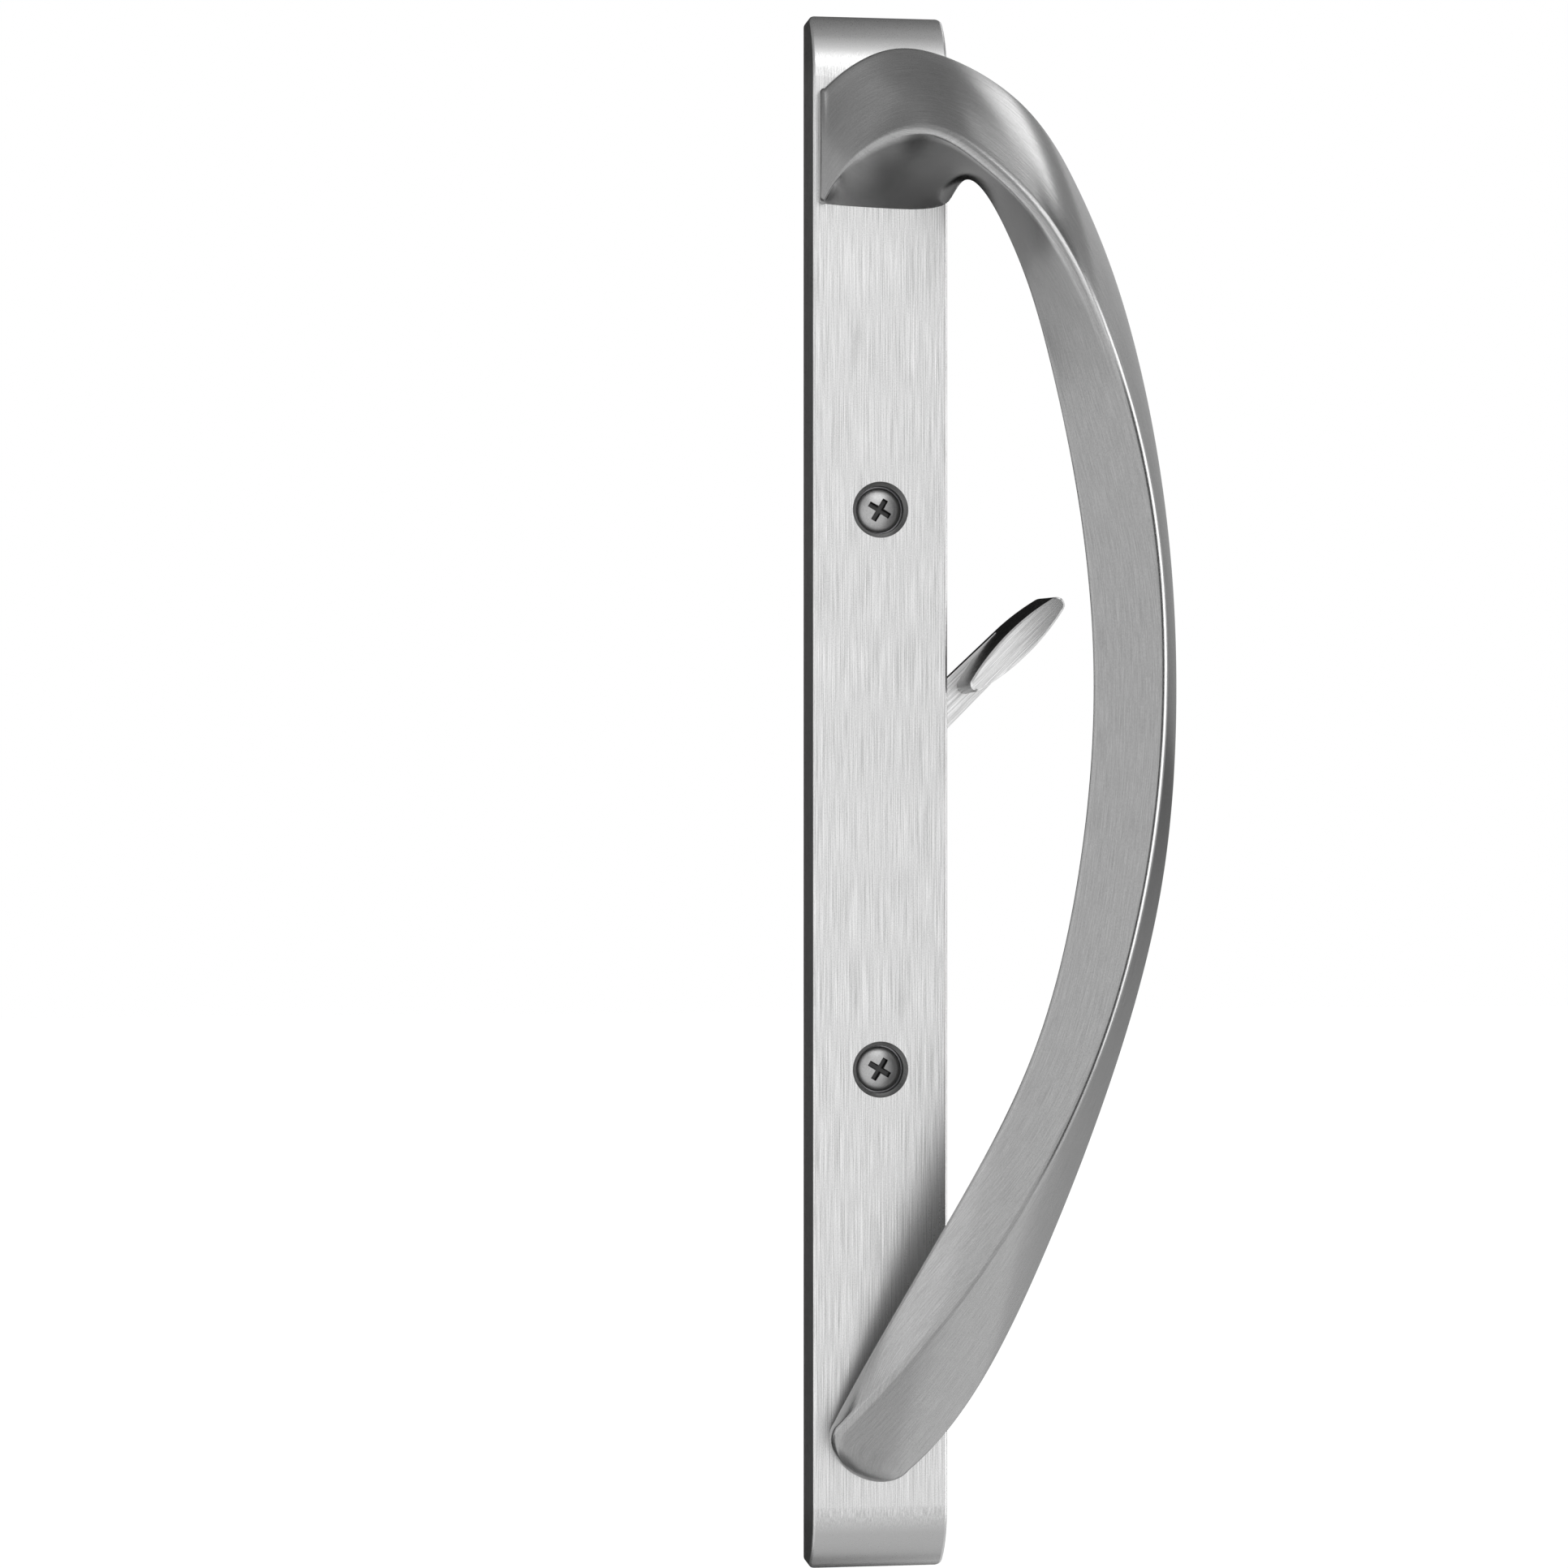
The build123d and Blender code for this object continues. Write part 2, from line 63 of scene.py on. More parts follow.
# Middles of the three edges at each section, from the top foot round to the lower one:
# ridge, outer edge and inner edge, each as (X, height above the plate's face, Z) in millimetres.
PULL_SECTIONS_MM = np.array([
    ((-10.4, 1.5, 105.9), (-10.4, 1.6, 123.5), (-10.4, -3.0, 105.9)),
    ((-4.7, 6.6, 112.5), (-3.8, 1.6, 128.6), (-3.6, -4.5, 102.4)),
    ((3.6, 13.5, 115.8), (5.6, 1.8, 130.8), (8.0, -5.0, 102.3)),
    ((13.7, 21.1, 110.6), (21.8, 7.0, 122.2), (14.8, 7.0, 109.4)),
    ((23.3, 27.0, 99.9), (31.4, 14.0, 106.1), (21.1, 17.0, 98.0)),
    ((33.7, 33.0, 76.9), (39.5, 21.0, 80.2), (26.7, 27.0, 74.4)),
    ((39.9, 36.1, 51.7), (44.1, 24.5, 52.8), (30.7, 31.5, 50.1)),
    ((42.3, 37.1, 18.5), (46.4, 25.5, 18.8), (33.1, 33.0, 18.6)),
    ((39.4, 36.1, -14.7), (44.4, 24.5, -15.4), (30.9, 32.0, -13.0)),
    ((30.7, 32.0, -48.1), (36.2, 20.5, -50.2), (23.7, 28.0, -45.3)),
    ((17.6, 24.5, -76.6), (25.6, 13.0, -81.9), (12.0, 19.5, -72.5)),
    ((5.2, 15.0, -96.7), (15.6, 4.0, -106.0), (1.9, 10.0, -93.5)),
    ((-7.9, 6.5, -113.4), (3.8, 1.5, -120.6), (-7.6, 2.5, -113.4)),
])

# Fineness of the pull's grid
GRIP_ROWS = 260
END_ROWS = 7
NOSE_ROWS = 16
SIDE_STEPS = 16
CORNER_STEPS = 10
LINE_STEPS = 3000           # places that an edge's length is summed over
CREASE = math.radians(35)   # turn of the surface above which an edge is sharp

# Painted shade on the pull, under the top arch, on the back of the lower half and at the top foot's end:
# how far along the pull from the top foot it changes, and its share where it is less than whole
ARCH_SHADE_MM = (2.0, 14.0, 42.0, 84.0)      # under the arch: starts, is full, starts to fade, is gone
ARCH_SHADE = 0.85
LOWER_SHADE_MM = (130.0, 150.0)              # back of the lower half: starts, is full
TOP_END_SHADE_MM = (2.0, 11.0)                   # end of the top foot: starts to fade, is gone
TOP_END_SHADE = 0.4

# Plate, and the screws in it
END_RUN_MM = 12.0           # length of each curved end
END_DEPTH_MM = 5.2          # height of the face above the door at the very end
FRONT_WALL_MM = 2.2
SIDE_WALL_MM = 2.0
RUN_OUT_AND_SHADE_MM = 5.0      # length over which the brushing runs out and painted shade comes in on a curved end
WELL_MOUTH_MM = 10.0        # across the recess round each screw head
WELL_SEAT_MM = 8.6          # across the narrow gap round each screw head
CROSS_REACH_MM = 5.0        # across the round patch that holds a head's cross
CROSS_FALL_MM = 0.45        # depth below the head's top where the cross has begun everywhere
CROSS_FLOOR_MM = 1.6        # depth below the head's top that the cross stays above
FINISH_AND_SHADE_LAP_MM = 0.02        # how far a patch of painted shade, and the hollow back's finish, lies from the edge that it belongs to

# Latch lever
LEVER_ANGLE = math.radians(44.3)
ARM_FRONT_MM = 5.0          # height of the arm's face above the door
ARM_BACK_MM = 2.0           # height of the arm's back above the door
PADDLE_BEVEL_MM = 0.35

# Marks of the finishes
NOISE_MEAN = 0.5
STROKE_DETAIL = 4.0
STROKE_ROUGHNESS = 0.65
GRAIN_PER_METRE = 5000.0
GRAIN_DETAIL = 2.0
GLOSS_SHARE = -0.5          # roughness falls by half of what the tone rises
BUMP_STRENGTH = 0.05
BUMP_DEPTH_MM = 0.02

# Camera, found from the photo's perspective
CAMERA_PLACE = (-0.11692, -0.72001, 0.00101)
CAMERA_YAW = math.radians(8.0)
CAMERA_LENS_MM = 92.24
CAMERA_SENSOR_MM = 36.0

plate_low, plate_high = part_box("escutcheon")
PLATE_FACE = -plate_low.y
PLATE_MIDDLE = (plate_low.z + plate_high.z) / 2
PLATE_HALF = (plate_high.z - plate_low.z) / 2
screw_low, screw_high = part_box("mounting_screws")
SCREW_TOP = -screw_low.y
SCREW_PITCH = screw_high.z - screw_low.z - (screw_high.x - screw_low.x)
PADDLE_TOP = -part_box("latch_lever")[0].y


def unit(vectors):
    """Vectors divided by their lengths."""
    return vectors / np.linalg.norm(vectors, axis=-1, keepdims=True)


def smooth_line(way, points, at):
    """Smooth curve through points met at the given ways, read off at other ways.

    Each span is the cubic with the slopes m at its ends. The slopes make the bending run on evenly
    across every point: m[i-1]/h0 + 2 m[i] (1/h0 + 1/h1) + m[i+1]/h1 = 3 (rise0/h0^2 + rise1/h1^2).
    The first and last slope are those of the cubic through the four points at that end.
    """
    h = np.diff(way)
    rise = np.diff(points, axis=0)
    count = len(way)
    table = np.zeros((count, count))
    right = np.zeros((count, points.shape[1]))
    inner = np.arange(1, count - 1)
    table[inner, inner - 1] = 1 / h[:-1]
    table[inner, inner] = 2 / h[:-1] + 2 / h[1:]
    table[inner, inner + 1] = 1 / h[1:]
    right[1:-1] = 3 * (rise[:-1] / h[:-1, None] ** 2 + rise[1:] / h[1:, None] ** 2)
    table[0, 0] = table[-1, -1] = 1
    right[0] = np.polyfit(way[:4] - way[0], points[:4], 3)[2]
    right[-1] = np.polyfit(way[-4:] - way[-1], points[-4:], 3)[2]
    slope = np.linalg.solve(table, right)
    span = np.clip(np.searchsorted(way, at, side="right") - 1, 0, count - 2)
    t = ((at - way[span]) / h[span])[:, None]
    lead, trail = slope[span] * h[span, None], slope[span + 1] * h[span, None]
    p, q = points[span], points[span + 1]
    return p + t * (lead + t * (3 * (q - p) - 2 * lead - trail + t * (2 * (p - q) + lead + trail)))


def grip_edges():
    """Middles of the ridge, outer and inner edge along the whole grip, as rows by 3 edges by XYZ.

    Each edge is a smooth line through its section points on one shared way, the mean distance along
    the three, and its rows lie at equal shares of its own length.
    """
    x, height, z = np.moveaxis(PULL_SECTIONS_MM * MM, -1, 0)
    knots = np.stack([x, -(PLATE_FACE + height), z], axis=-1)
    steps = np.linalg.norm(np.diff(knots, axis=0), axis=-1).mean(axis=1)
    way = np.concatenate([[0.0], np.cumsum(steps)])
    fine = np.linspace(0, way[-1], LINE_STEPS)
    edges = []
    for k in range(3):
        line = smooth_line(way, knots[:, k], fine)
        run = np.concatenate([[0.0], np.cumsum(np.linalg.norm(np.diff(line, axis=0), axis=-1))])
        at = np.interp(np.linspace(0, run[-1], GRIP_ROWS), run, fine)
        edges.append(smooth_line(way, knots[:, k], at))
    return np.stack(edges, axis=1)


def belt(edges, rounds):
    """Closed outline round three discs for every row: arcs over the discs, bowed arcs between them.

    The arc of a side touches both its discs from outside. Its radius R is the side's bow times the
    distance of the disc middles plus the larger disc, and its centre lies R - r from each middle.
    Gives points as rows by places round the outline by XYZ.
    """
    ridge, outer, inner = edges[:, 0], edges[:, 1], edges[:, 2]
    across = unit(outer - ridge)
    normal = unit(np.cross(outer - ridge, inner - ridge))
    up = np.cross(normal, across)
    flat = np.einsum("rkx,rxd->rkd", edges - ridge[:, None], np.stack([across, up], axis=-1))
    bows = (OUTER_BOW, BACK_BOW, INNER_BOW)
    centres, radii, leave, arrive = [], [], [], []
    for k in range(3):
        n = (k + 1) % 3
        chord = flat[:, n] - flat[:, k]
        length = np.linalg.norm(chord, axis=-1)
        along = chord / length[:, None]
        inward = np.stack([-along[:, 1], along[:, 0]], axis=-1)
        radius = bows[k] * length + np.maximum(rounds[:, k], rounds[:, n])
        reach = radius - rounds[:, k]
        run = (reach ** 2 - (radius - rounds[:, n]) ** 2 + length ** 2) / (2 * length)
        centre = flat[:, k] + along * run[:, None] + inward * np.sqrt(reach ** 2 - run ** 2)[:, None]
        start, end = flat[:, k] - centre, flat[:, n] - centre
        centres.append(centre)
        radii.append(radius)
        leave.append(np.arctan2(start[:, 1], start[:, 0]))
        arrive.append(np.arctan2(end[:, 1], end[:, 0]))

    def arc(centre, radius, first, last, count):
        """Places on each row's circle at even steps of angle from first on to last, without the last."""
        turn = np.mod(last - first, 2 * np.pi)
        angle = first[:, None] + turn[:, None] * np.linspace(0, 1, count, endpoint=False)
        ray = np.stack([np.cos(angle), np.sin(angle)], axis=-1)
        return centre[:, None] + radius[:, None, None] * ray

    runs = []
    for k in range(3):
        n = (k + 1) % 3
        runs.append(arc(centres[k], radii[k], leave[k], arrive[k], SIDE_STEPS))
        runs.append(arc(flat[:, n], rounds[:, n], arrive[k], leave[n], CORNER_STEPS))
    outline = np.concatenate(runs, axis=1)
    return ridge[:, None] + outline[..., :1] * across[:, None] + outline[..., 1:] * up[:, None]


def plate_height(z):
    """Height of the plate's face at z: level, then falling along a circle at each curved end."""
    end_run = END_RUN_MM * MM
    drop = PLATE_FACE - END_DEPTH_MM * MM
    curve = (end_run ** 2 + drop ** 2) / (2 * drop)
    past = np.clip(np.abs(z - PLATE_MIDDLE) - (PLATE_HALF - end_run), 0, end_run)
    return PLATE_FACE - curve + np.sqrt(curve ** 2 - past ** 2)


def cut_at_plate(skin):
    """Rows of outlines with what lies inside the plate cut away along a straight line.

    The run of places below the face is spread evenly between its two crossings, which are found by
    sharing out the step over the face at each end of the run. The ridge, where rows start, is above it.
    """
    depth = skin[..., 1] + plate_height(skin[..., 2]) + FOOT_SEAT_MM * MM
    below = depth > 0
    cut = np.flatnonzero(below.any(axis=1))
    rows, deep, count = skin[cut], depth[cut], skin.shape[1]
    first = below[cut].argmax(axis=1)
    last = count - 1 - below[cut][:, ::-1].argmax(axis=1)
    line = np.arange(len(cut))

    def crossing(outside, inside):
        """Where each row meets the face, between a place above it and the next one below it."""
        share = deep[line, outside] / (deep[line, outside] - deep[line, inside])
        return rows[line, outside] + share[:, None] * (rows[line, inside] - rows[line, outside])

    enters = crossing(first - 1, first)
    leaves = crossing((last + 1) % count, last)
    share = (np.arange(count) - first[:, None]) / np.maximum(last - first, 1)[:, None]
    chord = enters[:, None] + np.clip(share, 0, 1)[..., None] * (leaves - enters)[:, None]
    trimmed = skin.copy()
    trimmed[cut] = np.where(below[cut][..., None], chord, rows)
    return trimmed


def pull_skin():
    """Whole pull as rows by places round by XYZ: rounded end, grip, then the nose on the plate.

    The end's rows are the first section, drawn in along a quarter circle. The nose's rows are the
    last section, run on down its own slope over the nose's length by a share s and narrowed by
    sqrt(1 - s^2) along its own top face. What would lie inside the plate is cut away.
    """
    grip = grip_edges()
    rounds = np.array([RIDGE_ROUND_MM, OUTER_ROUND_MM, INNER_ROUND_MM]) * MM

    share = np.cos(np.linspace(0, np.pi / 2, END_ROWS))[:-1]
    end_round = FOOT_END_ROUND_MM * MM
    end = grip[0] - share[:, None, None] * np.array([end_round, 0, 0])
    end_rounds = rounds - end_round * (1 - np.sqrt(1 - share ** 2))[:, None]

    s = np.sin(np.linspace(0, NOSE_TURN, NOSE_ROWS))[1:, None]
    ridge, outer, inner = grip[-1]
    top = (ridge + outer) / 2
    low = np.array([top[0], inner[1], top[2]])
    middles = np.stack([top, top, low])
    last = ridge - grip[-1 - NOSE_SLOPE_ROWS, 0]
    onward = unit(np.cross(inner - outer, (0, 1, 0)))
    onward[1] = last[1] / np.linalg.norm(last)
    narrow = np.sqrt(1 - s ** 2)
    nose = middles + narrow[:, None] * (grip[-1] - middles) + (NOSE_LENGTH_MM * MM * s * onward)[:, None]

    edges = np.concatenate([end, grip, nose])
    sizes = np.concatenate([end_rounds, np.tile(rounds, (GRIP_ROWS, 1)), rounds * narrow])
    return cut_at_plate(belt(edges, sizes))


def way_along(skin):
    """Distance along the middles of the rows, in metres from the first."""
    steps = np.linalg.norm(np.diff(skin.mean(axis=1), axis=0), axis=-1)
    return np.concatenate([[0.0], np.cumsum(steps)])


def painted_shade_share(skin):
    """Share of the painted shade, as rows by places round the pull.

    It rises and falls in straight ramps along the way: all round at the top foot's end, under the
    top arch on the back and the inner side, and on the back alone in the lower half.
    """
    way = way_along(skin) / MM
    arch = np.interp(way, ARCH_SHADE_MM, (0.0, ARCH_SHADE, ARCH_SHADE, 0.0))
    lower = np.interp(way, LOWER_SHADE_MM, (0.0, 1.0))
    back = slice(SIDE_STEPS + CORNER_STEPS, 2 * SIDE_STEPS + CORNER_STEPS + 1)
    inner = slice(back.stop, 3 * SIDE_STEPS + 2 * CORNER_STEPS)
    end = np.interp(way, TOP_END_SHADE_MM, (TOP_END_SHADE, 0.0))
    painted_shade = np.tile(end[:, None], skin.shape[1]).astype(np.float32)
    painted_shade[:, back] = np.maximum(arch, np.maximum(lower, end))[:, None]
    painted_shade[:, inner] = np.maximum(arch, end)[:, None]
    return painted_shade


def tube_mesh(name, skin, painted_shade):
    """Closed mesh over rows of closed outlines, with a flat face on each end.

    The map UV gives the way along the tube and the way round it in metres, so that a grain can
    follow the surface. The share of painted shade is kept at the points.
    """
    rows, around = skin.shape[:2]
    place = np.arange(rows * around).reshape(rows, around)
    onward = np.roll(place, -1, axis=1)
    quads = np.stack([place[:-1], onward[:-1], onward[1:], place[1:]], axis=-1).reshape(-1, 4)
    corners = np.concatenate([quads.ravel(), place[0, ::-1], place[-1]])
    starts = np.concatenate([np.arange(len(quads)) * 4, len(quads) * 4 + np.array([0, around])])
    mesh = bpy.data.meshes.new(name)
    mesh.vertices.add(rows * around)
    mesh.vertices.foreach_set("co", skin.ravel())
    mesh.loops.add(len(corners))
    mesh.loops.foreach_set("vertex_index", corners)
    mesh.polygons.add(len(starts))
    mesh.polygons.foreach_set("loop_start", starts)
    mesh.update(calc_edges=True)

    way = way_along(skin)
    step = np.linalg.norm(np.roll(skin, -1, axis=1) - skin, axis=-1)
    girth = np.concatenate([np.zeros((rows, 1)), np.cumsum(step, axis=1)], axis=1)
    left, right = girth[:, :-1], girth[:, 1:]
    u = np.stack([way[:-1], way[:-1], way[1:], way[1:]], axis=-1)
    u = np.repeat(u[:, None], around, axis=1).reshape(-1)
    v = np.stack([left[:-1], right[:-1], right[1:], left[1:]], axis=-1).reshape(-1)
    u = np.concatenate([u, np.full(around, way[0]), np.full(around, way[-1])])
    v = np.concatenate([v, left[0, ::-1], left[-1]])
    layer = mesh.uv_layers.new(name="UVMap")
    layer.data.foreach_set("uv", np.stack([u, v], axis=-1).ravel())
    mesh.attributes.new("painted_shade", "FLOAT", "POINT").data.foreach_set("value", painted_shade.ravel())
    mesh.polygons.foreach_set("use_smooth", np.ones(len(starts), dtype=bool))
    mesh.set_sharp_from_angle(angle=CREASE)
    piece = bpy.data.objects.new(name, mesh)
    bpy.context.collection.objects.link(piece)
    return piece


grip_skin = pull_skin()
pull = tube_mesh("satin_pull", grip_skin, painted_shade_share(grip_skin))
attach(pull, "handle")
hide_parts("pull")


def new_material(name, metallic, roughness):
    """Empty node material with one metal or plastic shader, whose constant values stay on its sockets."""
    material = bpy.data.materials.new(name)
    material.use_nodes = True
    shader = material.node_tree.nodes["Principled BSDF"]
    shader.inputs["Metallic"].default_value = metallic
    shader.inputs["Roughness"].default_value = roughness
    return material, material.node_tree, shader


def math_maker(nodes, links):
    """Maker of math nodes in one tree."""

    def calc(kind, *terms):
        """Adds the node for one sum on numbers or sockets, and gives the socket of its answer."""
        node = nodes.new("ShaderNodeMath")
        node.operation = kind
        for socket, term in zip(node.inputs, terms):
            if isinstance(term, (int, float)):
                socket.default_value = term
            else:
                links.new(term, socket)
        return node.outputs[0]

    return calc


def grain_group():
    """Finish marks shared by all metals: long brush strokes and a fine even grain.

    Strokes is read on a space already stretched along the brushing, Grain on the plain space. The marks
    are both, each less its mean and times its depth. Tone is the colour times 1 plus the marks, Roughness
    the gloss times 1 less half of them, and Height the marks themselves, for a bump.
    """
    group = bpy.data.node_groups.new("Finish marks", "ShaderNodeTree")
    for name, kind, value in (
        ("Strokes", "NodeSocketVector", None),
        ("Grain", "NodeSocketVector", None),
        ("Colour", "NodeSocketColor", (0.5, 0.5, 0.5, 1.0)),
        ("Gloss", "NodeSocketFloat", 0.35),
        ("Stroke depth", "NodeSocketFloat", 0.1),
        ("Grain depth", "NodeSocketFloat", 0.05),
    ):
        socket = group.interface.new_socket(name, in_out="INPUT", socket_type=kind)
        if value is not None:
            socket.default_value = value
    group.interface.new_socket("Tone", in_out="OUTPUT", socket_type="NodeSocketColor")
    group.interface.new_socket("Roughness", in_out="OUTPUT", socket_type="NodeSocketFloat")
    group.interface.new_socket("Height", in_out="OUTPUT", socket_type="NodeSocketFloat")
    nodes, links = group.nodes, group.links
    given = nodes.new("NodeGroupInput")
    result = nodes.new("NodeGroupOutput")

    calc = math_maker(nodes, links)
    strokes = nodes.new("ShaderNodeTexNoise")
    strokes.inputs["Scale"].default_value = 1.0
    strokes.inputs["Detail"].default_value = STROKE_DETAIL
    strokes.inputs["Roughness"].default_value = STROKE_ROUGHNESS
    links.new(given.outputs["Strokes"], strokes.inputs["Vector"])
    grain = nodes.new("ShaderNodeTexNoise")
    grain.inputs["Scale"].default_value = GRAIN_PER_METRE
    grain.inputs["Detail"].default_value = GRAIN_DETAIL
    links.new(given.outputs["Grain"], grain.inputs["Vector"])

    stroke_mark = calc("SUBTRACT", strokes.outputs["Fac"], NOISE_MEAN)
    grain_mark = calc("SUBTRACT", grain.outputs["Fac"], NOISE_MEAN)
    stroke_part = calc("MULTIPLY", stroke_mark, given.outputs["Stroke depth"])
    marks = calc("MULTIPLY_ADD", grain_mark, given.outputs["Grain depth"], stroke_part)
    tone = calc("ADD", marks, 1.0)
    tinted = nodes.new("ShaderNodeMix")
    tinted.data_type = "RGBA"
    tinted.blend_type = "MULTIPLY"
    tinted.inputs["Factor"].default_value = 1.0
    links.new(given.outputs["Colour"], tinted.inputs["A"])
    links.new(tone, tinted.inputs["B"])
    links.new(tinted.outputs["Result"], result.inputs["Tone"])
    gloss = calc("MULTIPLY_ADD", marks, GLOSS_SHARE, 1.0)
    links.new(calc("MULTIPLY", gloss, given.outputs["Gloss"]), result.inputs["Roughness"])
    links.new(marks, result.inputs["Height"])
    return group


FINISH_MARKS = grain_group()


def metal(name, colour, gloss, grain_depth, along=None, stretch=None, turn=0.0, stroke_depth=0.0):
    """Metal with the shared finish marks.

    along says which space the strokes lie in, "Object" or "UV"; stretch is strokes per metre along
    each axis of that space, after it is turned about Y by turn. Without along there are no strokes.
    """
    material, tree, shader = new_material(name, metallic=1.0, roughness=gloss)
    nodes, links = tree.nodes, tree.links
    where = nodes.new("ShaderNodeTexCoord")
    marks = nodes.new("ShaderNodeGroup")
    marks.node_tree = FINISH_MARKS
    marks.inputs["Colour"].default_value = (*colour, 1.0)
    marks.inputs["Gloss"].default_value = gloss
    marks.inputs["Stroke depth"].default_value = stroke_depth
    marks.inputs["Grain depth"].default_value = grain_depth
    if along:
        space = nodes.new("ShaderNodeMapping")
        space.vector_type = "TEXTURE"
        space.inputs["Rotation"].default_value = (0.0, turn, 0.0)
        space.inputs["Scale"].default_value = [1 / strokes for strokes in stretch]
        links.new(where.outputs[along], space.inputs["Vector"])
        links.new(space.outputs["Vector"], marks.inputs["Strokes"])
    links.new(where.outputs["Object"], marks.inputs["Grain"])
    links.new(marks.outputs["Tone"], shader.inputs["Base Color"])
    links.new(marks.outputs["Roughness"], shader.inputs["Roughness"])
    relief = nodes.new("ShaderNodeBump")
    relief.inputs["Strength"].default_value = BUMP_STRENGTH
    relief.inputs["Distance"].default_value = BUMP_DEPTH_MM * MM
    links.new(marks.outputs["Height"], relief.inputs["Height"])
    links.new(relief.outputs["Normal"], shader.inputs["Normal"])
    return material


def dress(name, material):
    """Gives a solid its finish in place of the plain one."""
    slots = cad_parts[name].data.materials
    slots.clear()
    slots.append(material)


def patch_group(name, measure):
    """Group that gives 1 inside a patch of the object's space and 0 outside it.

    measure builds the nodes: it is given the X, Y and Z sockets and a maker of math nodes, and hands
    back sockets that are each 1 inside and 0 outside.
    """
    group = bpy.data.node_groups.new(name, "ShaderNodeTree")
    group.interface.new_socket("Place", in_out="INPUT", socket_type="NodeSocketVector")
    group.interface.new_socket("Patch", in_out="OUTPUT", socket_type="NodeSocketFloat")
    nodes, links = group.nodes, group.links
    split = nodes.new("ShaderNodeSeparateXYZ")
    links.new(nodes.new("NodeGroupInput").outputs["Place"], split.inputs["Vector"])
    calc = math_maker(nodes, links)
    inside = None
    for part in measure(split.outputs["X"], split.outputs["Y"], split.outputs["Z"], calc):
        inside = calc("MULTIPLY", part, inside) if inside else part
    links.new(inside, nodes.new("NodeGroupOutput").inputs["Patch"])
    return group


def from_screw(x, z, calc):
    """Distance from the nearer of the two screws' axes."""
    off = calc("SUBTRACT", calc("ABSOLUTE", z), SCREW_PITCH / 2)
    return calc("SQRT", calc("MULTIPLY_ADD", off, off, calc("MULTIPLY", x, x)))


def in_well_shade(x, y, z, calc):
    """Recess in the plate round each screw head, with painted shade."""
    return [calc("LESS_THAN", from_screw(x, z, calc), (WELL_MOUTH_MM / 2 + FINISH_AND_SHADE_LAP_MM) * MM)]


def in_gap_shadow(x, y, z, calc):
    """Narrow gap in the plate round each screw head, painted near black as shadow."""
    return [calc("LESS_THAN", from_screw(x, z, calc), WELL_SEAT_MM / 2 * MM)]


def on_end(x, y, z, calc):
    """Curved ends of the plate, darker where the brushing runs out and with painted shade."""
    along = calc("ABSOLUTE", calc("SUBTRACT", z, PLATE_MIDDLE))
    past = calc("SUBTRACT", along, PLATE_HALF - END_RUN_MM * MM)
    share = calc("DIVIDE", past, RUN_OUT_AND_SHADE_MM * MM)
    return [calc("MINIMUM", calc("MAXIMUM", share, 0.0), 1.0)]


def in_cross_shade(x, y, z, calc):
    """Walls and floor of the cross in each screw head, painted near black as shade."""
    return [calc("LESS_THAN", from_screw(x, z, calc), CROSS_REACH_MM / 2 * MM),
            calc("GREATER_THAN", y, CROSS_FALL_MM * MM - SCREW_TOP),
            calc("LESS_THAN", y, CROSS_FLOOR_MM * MM - SCREW_TOP)]


def on_lever_side_shade(x, y, z, calc):
    """Sides of the arm and the thumb paddle, without the arm's two faces and the paddle's bevel, painted
    dark as shade.
    """
    from_face = calc("ABSOLUTE", calc("ADD", y, ARM_FRONT_MM * MM))
    return [calc("GREATER_THAN", from_face, FINISH_AND_SHADE_LAP_MM * MM),
            calc("LESS_THAN", y, -(ARM_BACK_MM + FINISH_AND_SHADE_LAP_MM) * MM),
            calc("GREATER_THAN", y, (PADDLE_BEVEL_MM + FINISH_AND_SHADE_LAP_MM) * MM - PADDLE_TOP)]


def in_hollow(x, y, z, calc):
    """Hollow back of the plate, between its curved ends."""
    half = plate_high.x + (FINISH_AND_SHADE_LAP_MM - SIDE_WALL_MM) * MM
    along = calc("ABSOLUTE", calc("SUBTRACT", z, PLATE_MIDDLE))
    return [calc("LESS_THAN", calc("ABSOLUTE", x), half),
            calc("LESS_THAN", along, PLATE_HALF - END_RUN_MM * MM),
            calc("GREATER_THAN", y, (FRONT_WALL_MM - FINISH_AND_SHADE_LAP_MM) * MM - PLATE_FACE)]


def repaint(material, patch, colour):
    """Other colour over the finish that a material has already, where the socket patch is 1."""
    tree = material.node_tree
    base = tree.nodes["Principled BSDF"].inputs["Base Color"]
    paint = tree.nodes.new("ShaderNodeMix")
    paint.data_type = "RGBA"
    paint.inputs["B"].default_value = (*colour, 1.0)
    tree.links.new(base.links[0].from_socket, paint.inputs["A"])
    tree.links.new(patch, paint.inputs["Factor"])
    tree.links.new(paint.outputs["Result"], base)


def repaint_patch(material, group, colour):
    """Other colour inside the patch that a group measures in the object's space."""
    tree = material.node_tree
    where = tree.nodes.new("ShaderNodeTexCoord")
    patch = tree.nodes.new("ShaderNodeGroup")
    patch.node_tree = group
    tree.links.new(where.outputs["Object"], patch.inputs["Place"])
    repaint(material, patch.outputs["Patch"], colour)


def grey(value):
    """Colour with no tint."""
    return (value, value, value)


brushed_plate = metal("brushed plate", grey(0.69), gloss=0.31, grain_depth=0.6, along="Object",
                      stretch=(6500.0, 6500.0, 70.0), stroke_depth=1.8)
# Curved ends of the plate: darker where the brushing runs out, and painted shade
repaint_patch(brushed_plate, patch_group("Curved end run-out and shade", on_end), grey(0.5))
# Painted shade in the recess round each screw head
repaint_patch(brushed_plate, patch_group("Screw well shade", in_well_shade), grey(0.26))
